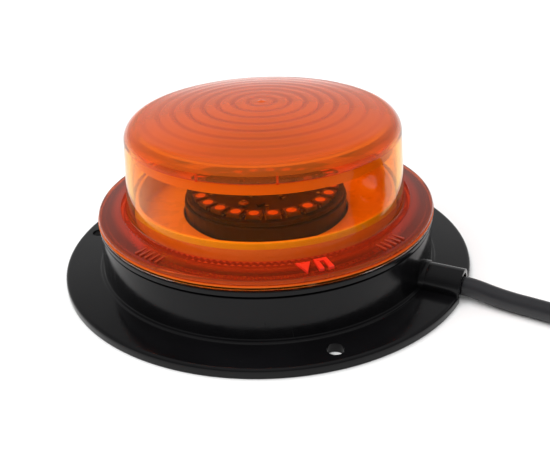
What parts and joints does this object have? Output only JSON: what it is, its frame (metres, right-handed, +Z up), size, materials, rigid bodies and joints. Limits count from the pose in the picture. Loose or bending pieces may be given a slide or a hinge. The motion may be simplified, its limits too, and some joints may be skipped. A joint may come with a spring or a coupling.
{
  "type": "warning beacon",
  "caption": "Low round amber LED warning beacon: a twist-off amber lens over a ring of LEDs, on a glossy black flanged base with bolt holes and a flying supply lead.",
  "frame": {"origin": "centre of the mounting flange's underside, on the surface the beacon is bolted to", "axes": "+Z up along the lens axis, +X the way the supply lead leaves the base, +Y to its left"},
  "size_m": [0.2955, 0.179, 0.0642],
  "materials": {
    "amber_lens": "clear amber polycarbonate, polished",
    "black_abs": "glossy black moulding",
    "plate_black": "satin black moulding",
    "white_reflector": "satin white moulding",
    "black_heat_spreader": "black anodised",
    "black_board": "black solder mask",
    "green_board": "green solder mask",
    "led_package": "white package with amber-yellow emitter",
    "chip_black": "moulded epoxy",
    "zinc_steel": "zinc plated",
    "seal_rubber": "matt black",
    "lead_jacket": "satin black PVC jacket",
    "red_insulation": "red PVC",
    "black_insulation": "black PVC",
    "nylon_natural": "natural nylon",
    "nylon_green": "green nylon",
    "capacitor_can": "bare drawn can",
    "ferrite": "sintered ferrite"
  },
  "bodies": {
    "base": {"base_housing": "black_abs", "bottom_plate": "plate_black", "bottom_gasket": "seal_rubber", "plate_screw_1": "zinc_steel", "plate_screw_2": "zinc_steel", "plate_screw_3": "zinc_steel", "led_pedestal": "black_heat_spreader", "reflector_deck": "white_reflector", "pedestal_screw_1": "zinc_steel", "pedestal_screw_2": "zinc_steel", "pedestal_screw_3": "zinc_steel", "led_board": "black_board", "board_screw_1": "zinc_steel", "board_screw_2": "zinc_steel", "board_screw_3": "zinc_steel", "led_01": "led_package", "led_02": "led_package", "led_03": "led_package", "led_04": "led_package", "led_05": "led_package", "led_06": "led_package", "led_07": "led_package", "led_08": "led_package", "led_09": "led_package", "led_10": "led_package", "led_11": "led_package", "led_12": "led_package", "led_13": "led_package", "led_14": "led_package", "led_15": "led_package", "led_16": "led_package", "led_17": "led_package", "led_18": "led_package", "led_19": "led_package", "led_20": "led_package", "led_21": "led_package", "led_22": "led_package", "led_23": "led_package", "led_24": "led_package", "flash_controller": "chip_black", "chip_resistor": "chip_black", "driver_board": "green_board", "driver_inductor": "ferrite", "driver_capacitor": "capacitor_can", "driver_regulator": "chip_black", "terminal_block": "nylon_green", "board_link_header": "chip_black", "driver_screw_1": "zinc_steel", "driver_screw_2": "zinc_steel", "cable_grommet": "seal_rubber", "cable_inner": "lead_jacket", "core_red_inner": "red_insulation", "core_black_inner": "black_insulation", "cable_tie": "nylon_natural", "lens_seal": "seal_rubber", "supply_cable": "lead_jacket", "cable_coil": "lead_jacket", "cable_tail": "lead_jacket", "coil_tie": "black_insulation"},
    "lens": {"dome_lens": "amber_lens"}
  },
  "joints": [
    {"name": "lens_twist", "type": "hinge", "parent": "base", "child": "lens", "pos_m": [0, 0, 0.02], "axis": [0, 0, 1], "range_deg": [0, 24]}
  ]
}
